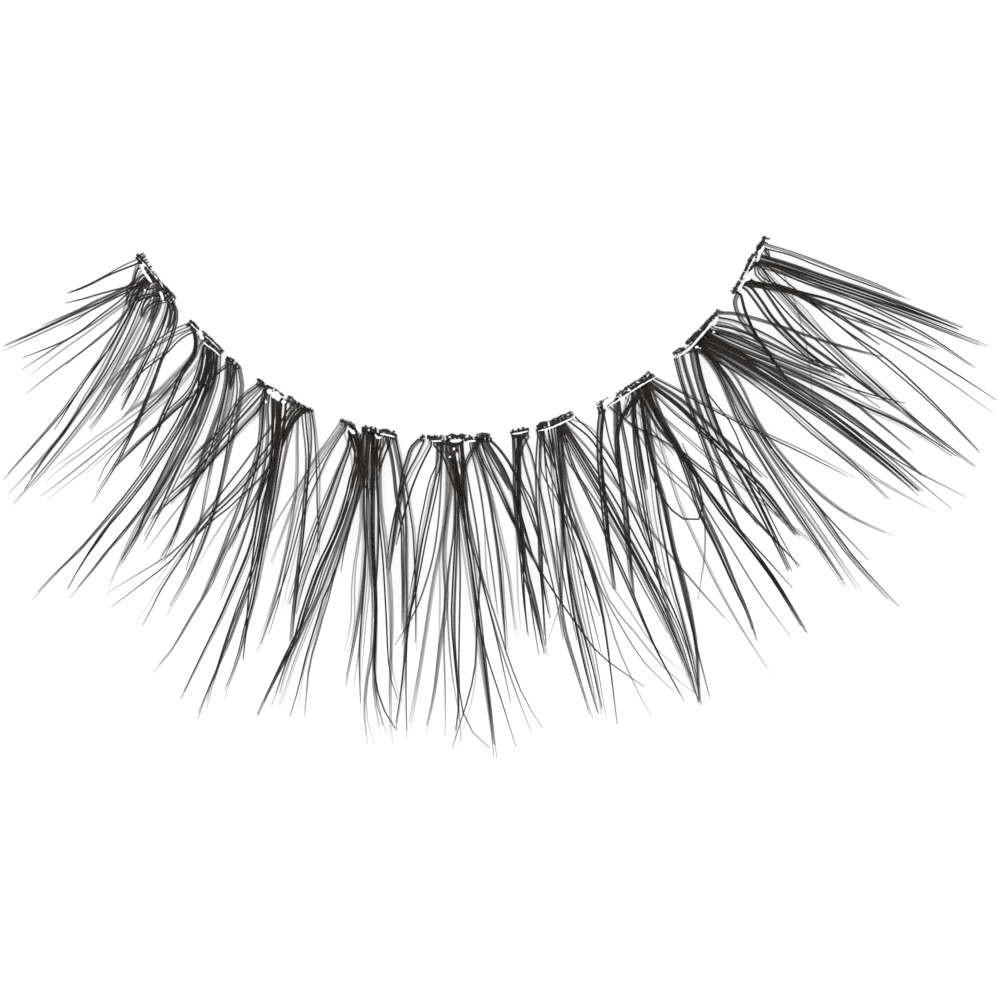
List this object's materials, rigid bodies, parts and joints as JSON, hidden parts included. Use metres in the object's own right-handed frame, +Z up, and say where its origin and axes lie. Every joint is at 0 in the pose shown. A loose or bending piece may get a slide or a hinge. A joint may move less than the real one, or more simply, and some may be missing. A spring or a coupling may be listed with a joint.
{
  "type": "false eyelash strip",
  "caption": "Curved clear lash band carrying separate knotted clusters of dark lashes that fan outward and curl up at their tips.",
  "frame": {"origin": "middle of the band's length and width, on its underside, which is the glue face that it rests on", "axes": "+X towards the band's right end, -Y outward along the middle lashes, +Z up out of the glue face, towards the curl"},
  "size_m": [0.0416, 0.0218, 0.005],
  "materials": {
    "clear_band": "clear, glossy",
    "lash_hair": "soft satin, near-black brown fibre"
  },
  "bodies": {
    "root": {"clear_band": "clear_band", "lash_cluster_1": "lash_hair", "lash_cluster_2": "lash_hair", "lash_cluster_3": "lash_hair", "lash_cluster_4": "lash_hair", "lash_cluster_5": "lash_hair", "lash_cluster_6": "lash_hair", "lash_cluster_7": "lash_hair", "lash_cluster_8": "lash_hair", "lash_cluster_9": "lash_hair"}
  },
  "joints": []
}
